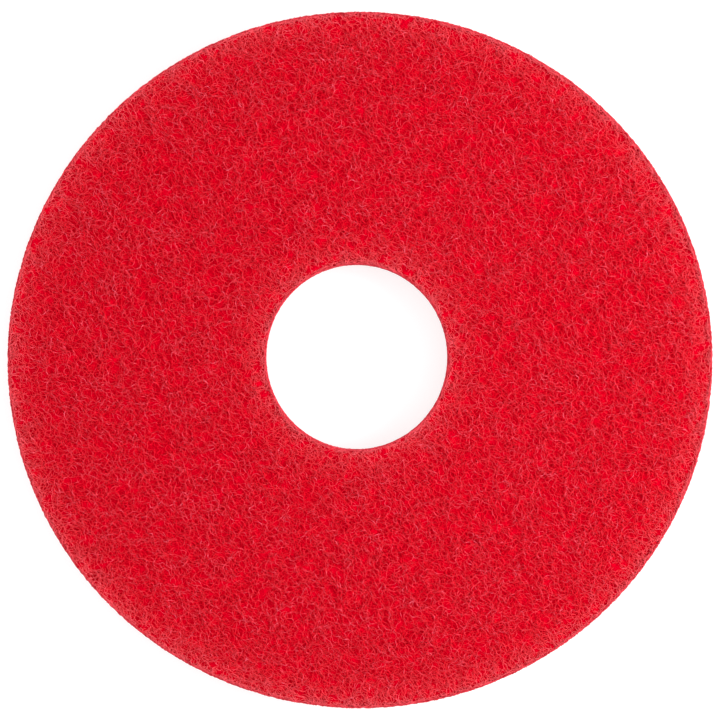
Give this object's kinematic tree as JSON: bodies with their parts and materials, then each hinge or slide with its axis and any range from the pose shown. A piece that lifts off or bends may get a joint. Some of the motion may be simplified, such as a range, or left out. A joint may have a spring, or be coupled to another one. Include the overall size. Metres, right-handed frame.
{
  "type": "floor pad",
  "caption": "Round red nonwoven fibre floor pad with a centre hole, for polishing and light cleaning under a rotary floor machine.",
  "frame": {"origin": "middle of the underside, on the axis of the centre hole", "axes": "+Z along the axis of symmetry, from the underside to the upper face; X and Y lie in the underside and are interchangeable"},
  "size_m": [0.33, 0.33, 0.022],
  "materials": {
    "red_web": "matte, open web of crimped red synthetic fibres bonded with resin"
  },
  "bodies": {
    "root": {"floor_pad": "red_web"}
  },
  "joints": []
}
